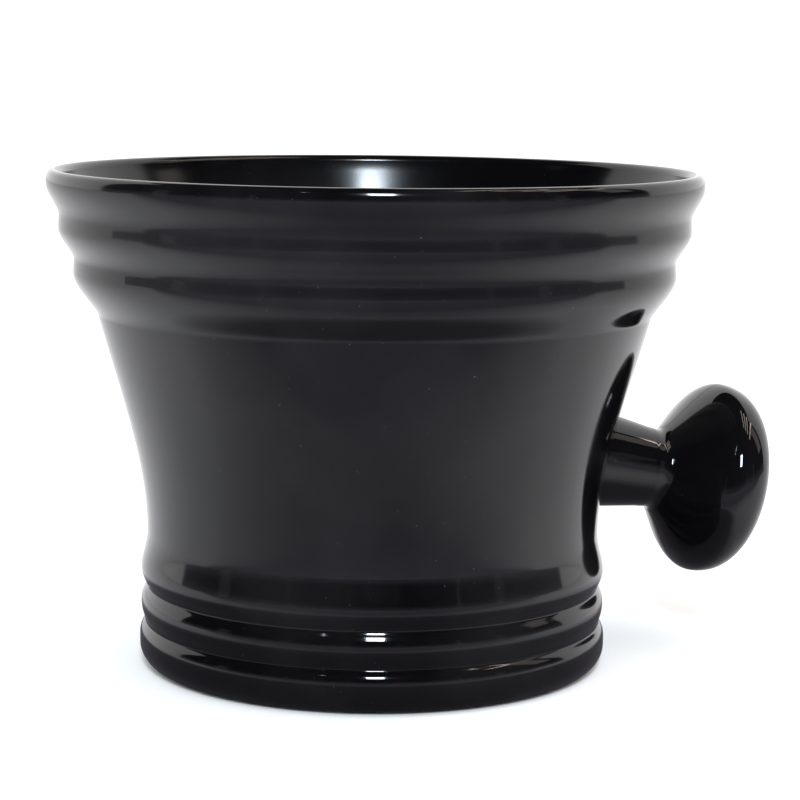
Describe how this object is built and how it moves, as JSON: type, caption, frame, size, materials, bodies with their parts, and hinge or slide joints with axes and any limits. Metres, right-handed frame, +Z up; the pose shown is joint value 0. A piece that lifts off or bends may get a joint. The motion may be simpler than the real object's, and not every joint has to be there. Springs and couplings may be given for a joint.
{
  "type": "shaving mug",
  "caption": "Flared round bowl with raised ring bands at lip and foot, and a short stem with a flattened round knob as its side handle.",
  "frame": {"origin": "centre of the flat foot, on the bowl's axis", "axes": "+Z up along the bowl's axis, +X out through the handle"},
  "size_m": [0.1123, 0.098, 0.0748],
  "materials": {
    "bowl": "moulded black plastic, high gloss with a slight waviness",
    "handle": "moulded black plastic, mirror gloss",
    "adhesive": "cured clear adhesive, slightly cloudy"
  },
  "bodies": {
    "root": {"bowl": "bowl", "handle_stem_half": "handle", "knob_cover_half": "handle", "socket_adhesive": "adhesive"}
  },
  "joints": []
}
